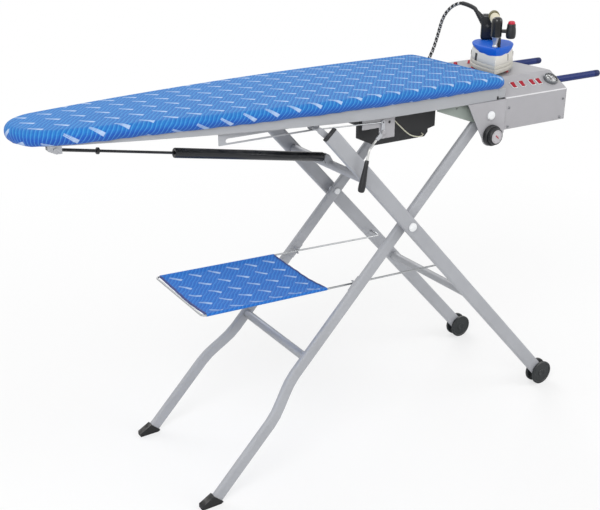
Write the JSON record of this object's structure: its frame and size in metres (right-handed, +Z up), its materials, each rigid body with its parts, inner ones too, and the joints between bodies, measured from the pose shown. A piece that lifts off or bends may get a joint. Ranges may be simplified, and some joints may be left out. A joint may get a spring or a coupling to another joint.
{
  "type": "vacuum ironing table",
  "caption": "Folding vacuum ironing table with a padded suction board, fan, steam generator, iron on its rest, hose, shelf and crossed legs on wheels and feet.",
  "frame": {"origin": "centre of the footprint of the table without its hose, at floor height", "axes": "+Z up, +X from the board's nose to the steam generator, -Y the side with the lever and knob"},
  "size_m": [1.605, 0.449, 1.0793],
  "materials": {
    "silver_paint": "semi-gloss",
    "grey_sheet": "semi-gloss",
    "steel": "satin",
    "white_plastic": "satin",
    "black_plastic": "satin",
    "black_rubber": "matte",
    "blue_fabric": "woven",
    "felt": "matte",
    "blue_tube": "gloss",
    "blue_plastic": "gloss",
    "red_silicone": "satin",
    "aluminium": "satin",
    "cork": "matte",
    "braid": "braided"
  },
  "bodies": {
    "board": {"suction_tray": "silver_paint", "perforated_plate": "steel", "felt_pad": "felt", "board_cover": "blue_fabric", "guide_plate_near": "silver_paint", "guide_plate_far": "silver_paint", "fan_housing": "black_plastic", "fan_lead": "white_plastic", "board_bracket_near": "grey_sheet", "board_bracket_far": "grey_sheet", "generator_cover": "grey_sheet", "generator_tray": "grey_sheet", "boiler": "steel", "handle_near": "blue_tube", "handle_far": "blue_tube", "mains_inlet": "black_plastic", "hose_gland": "black_plastic", "hose_coil": "braid", "hose_lead": "braid", "steam_hose": "braid", "nose_bracket": "steel", "lever_bracket": "grey_sheet", "gauge_body": "black_plastic"},
    "frame_b": {"b_leg_near": "silver_paint", "b_leg_far": "silver_paint", "b_crossbar": "silver_paint", "b_foot_near": "black_rubber", "b_foot_far": "black_rubber", "cross_bolt_near": "white_plastic", "cross_bolt_far": "white_plastic", "board_bolt_near": "white_plastic", "board_bolt_far": "white_plastic"},
    "frame_a": {"a_leg_near": "silver_paint", "a_leg_far": "silver_paint", "a_upper_crossbar": "silver_paint", "a_lower_crossbar": "silver_paint"},
    "wheel_near": {"wheel_near": "black_plastic"},
    "wheel_far": {"wheel_far": "black_plastic"},
    "shelf": {"shelf_frame": "steel", "shelf_cloth": "blue_fabric"},
    "spring_cylinder": {"spring_cylinder": "black_plastic"},
    "spring_rod": {"spring_rod": "steel"},
    "lever": {"lever_crank": "steel", "lever_wire": "steel", "lever_grip": "black_plastic"},
    "pull_rod": {"pull_rod": "steel"},
    "control_knob": {"control_knob": "black_plastic"},
    "rocker_1": {"rocker_1": "red_silicone"},
    "rocker_2": {"rocker_2": "red_silicone"},
    "rocker_3": {"rocker_3": "red_silicone"},
    "rocker_4": {"rocker_4": "red_silicone"},
    "gauge_needle": {"gauge_needle": "black_plastic"},
    "impeller": {"impeller": "black_plastic"},
    "iron": {"iron_sole": "aluminium", "iron_body": "aluminium", "heat_shield": "blue_plastic", "iron_front_handle": "black_plastic", "iron_rear_handle": "black_plastic", "cork_grip": "cork"},
    "steam_button": {"steam_button": "red_silicone"}
  },
  "joints": [
    {"name": "fold", "type": "hinge", "parent": "board", "child": "frame_b", "pos_m": [0.3415, -0.0115, 0.8435], "axis": [0, 1, 0], "range_deg": [0, 34]},
    {"name": "leg_cross", "type": "hinge", "parent": "frame_b", "child": "frame_a", "pos_m": [0.1025, -0.0115, 0.5966], "axis": [0, 1, 0], "range_deg": [-66, 0]},
    {"name": "shelf_tilt", "type": "hinge", "parent": "frame_a", "child": "shelf", "pos_m": [0.2421, -0.0115, 0.4431], "axis": [0, 1, 0], "range_deg": [0, 32]},
    {"name": "wheel_near_roll", "type": "hinge", "parent": "frame_a", "child": "wheel_near", "pos_m": [0.6135, -0.1905, 0.035], "axis": [0, 1, 0], "continuous": true},
    {"name": "wheel_far_roll", "type": "hinge", "parent": "frame_a", "child": "wheel_far", "pos_m": [0.6135, 0.1675, 0.035], "axis": [0, 1, 0], "continuous": true},
    {"name": "spring_rod_swing", "type": "hinge", "parent": "board", "child": "spring_rod", "pos_m": [-0.7075, -0.0115, 0.874], "axis": [0, 1, 0], "range_deg": [-5.5, 0]},
    {"name": "spring_cylinder_swing", "type": "hinge", "parent": "frame_a", "child": "spring_cylinder", "pos_m": [-0.0315, -0.0115, 0.751], "axis": [0, 1, 0], "range_deg": [0, 27]},
    {"name": "lever_pull", "type": "hinge", "parent": "board", "child": "lever", "pos_m": [0.0195, -0.1745, 0.843], "axis": [0, 1, 0], "range_deg": [0, 25], "stiffness_Nm_per_rad": 1.5, "springref_deg": -17.19},
    {"name": "rod_pull", "type": "slide", "parent": "board", "child": "pull_rod", "axis": [1, 0, 0], "range_m": [0, 0.0105]},
    {"name": "knob_turn", "type": "hinge", "parent": "board", "child": "control_knob", "pos_m": [0.3455, -0.192, 0.793], "axis": [0, 1, 0], "range_deg": [-135, 135]},
    {"name": "rocker_1_tilt", "type": "hinge", "parent": "board", "child": "rocker_1", "pos_m": [0.4465, -0.1551, 0.8998], "axis": [-1, 0, 0], "range_deg": [0, 12]},
    {"name": "rocker_2_tilt", "type": "hinge", "parent": "board", "child": "rocker_2", "pos_m": [0.4764, -0.1551, 0.8998], "axis": [-1, 0, 0], "range_deg": [0, 12]},
    {"name": "rocker_3_tilt", "type": "hinge", "parent": "board", "child": "rocker_3", "pos_m": [0.5116, -0.1551, 0.8998], "axis": [-1, 0, 0], "range_deg": [0, 12]},
    {"name": "rocker_4_tilt", "type": "hinge", "parent": "board", "child": "rocker_4", "pos_m": [0.5355, -0.1551, 0.8998], "axis": [-1, 0, 0], "range_deg": [0, 12]},
    {"name": "needle_turn", "type": "hinge", "parent": "board", "child": "gauge_needle", "pos_m": [0.5784, -0.1563, 0.902], "axis": [0, -0.4969, 0.8678], "range_deg": [0, 250], "stiffness_Nm_per_rad": 0.002, "springref_deg": -5.73},
    {"name": "fan_spin", "type": "hinge", "parent": "board", "child": "impeller", "pos_m": [0.1185, -0.0115, 0.8409], "axis": [0, 0, 1], "continuous": true},
    {"name": "iron_lift", "type": "slide", "parent": "board", "child": "iron", "axis": [0, 0, 1], "range_m": [0, 0.12], "deforming": ["steam_hose"]},
    {"name": "steam_press", "type": "slide", "parent": "iron", "child": "steam_button", "axis": [0, 0, -1], "range_m": [0, 0.003], "stiffness_N_per_m": 300, "springref_m": -0.002}
  ],
  "couplings": [
    {"joint": "leg_cross", "follows": "fold", "ratio": -1.92},
    {"joint": "shelf_tilt", "follows": "fold", "ratio": 0.92},
    {"joint": "spring_rod_swing", "follows": "fold", "ratio": -0.1526},
    {"joint": "spring_cylinder_swing", "follows": "fold", "ratio": 0.7674},
    {"joint": "rod_pull", "follows": "lever_pull", "m_per_rad": 0.024}
  ]
}
